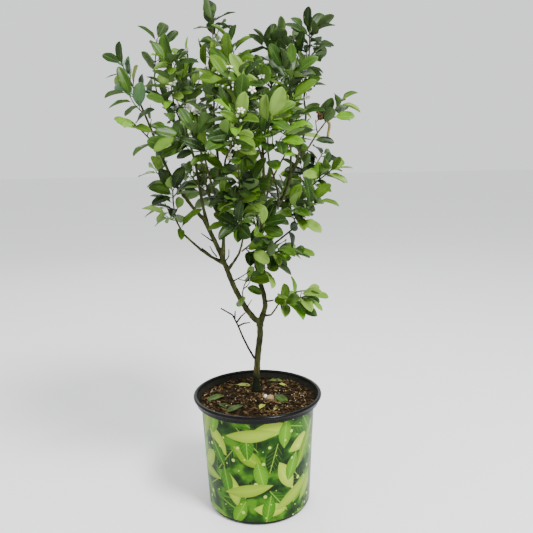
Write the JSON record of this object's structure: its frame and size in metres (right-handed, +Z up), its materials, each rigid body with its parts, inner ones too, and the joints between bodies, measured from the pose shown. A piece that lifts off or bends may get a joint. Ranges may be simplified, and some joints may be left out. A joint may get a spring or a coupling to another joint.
{
  "type": "potted citrus bush",
  "caption": "Young citrus bush with a forked trunk and an open crown of glossy leaves and small white blossom, in a round black nursery pot with a printed wrap.",
  "frame": {"origin": "centre of the pot's flat underside", "axes": "+Z up along the pot's axis, -Y towards the side that the picture shows, +X to its right"},
  "size_m": [0.5093, 0.4478, 1.0643],
  "materials": {
    "pot": "black moulded plastic, slightly glossy rim",
    "wrap": null,
    "soil": "loose bark compost",
    "bark": "olive brown young bark",
    "dead_wood": "dry grey brown twig",
    "leaves": "glossy leaves with green twigs and white blossom"
  },
  "bodies": {
    "root": {"pot": "pot", "wrap": "wrap", "soil": "soil", "trunk": "bark", "left_main": "bark", "right_main": "bark", "low_twig": "bark", "right_upper": "bark", "outer_left": "bark", "inner_left": "bark", "low_left": "bark", "centre_left": "bark", "front_left": "bark", "front_up": "bark", "back_left": "bark", "front_centre": "bark", "top_mid": "bark", "behind_top": "bark", "right_bough": "bark", "right_top": "bark", "far_right": "bark", "right_arm": "bark", "right_low": "bark", "front_right": "bark", "back_centre": "bark", "back_right": "bark", "dead_twig": "dead_wood", "leaves_far_left_top": "leaves", "leaves_outer_left_mid": "leaves", "leaves_outer_left_low": "leaves", "leaves_left_top": "leaves", "leaves_left_inner": "leaves", "leaves_left_spire": "leaves", "leaves_top_centre": "leaves", "leaves_top_mid": "leaves", "leaves_centre_high": "leaves", "leaves_front_bright": "leaves", "leaves_centre_spire": "leaves", "leaves_behind_top": "leaves", "leaves_right_top": "leaves", "leaves_right_green": "leaves", "leaves_far_right_top": "leaves", "leaves_right_up": "leaves", "leaves_right_mid": "leaves", "leaves_right_low": "leaves", "leaves_low_right": "leaves", "leaves_low_twig": "leaves", "leaves_front_left": "leaves", "leaves_front_low": "leaves", "leaves_front_right": "leaves", "leaves_low_left": "leaves", "leaves_back_left": "leaves", "leaves_back_centre": "leaves", "leaves_back_right": "leaves", "leaves_back_low_left": "leaves", "leaves_back_low_right": "leaves", "leaves_mid_low": "leaves", "leaves_fork": "leaves", "leaves_centre": "leaves", "leaves_middle": "leaves"}
  },
  "joints": []
}
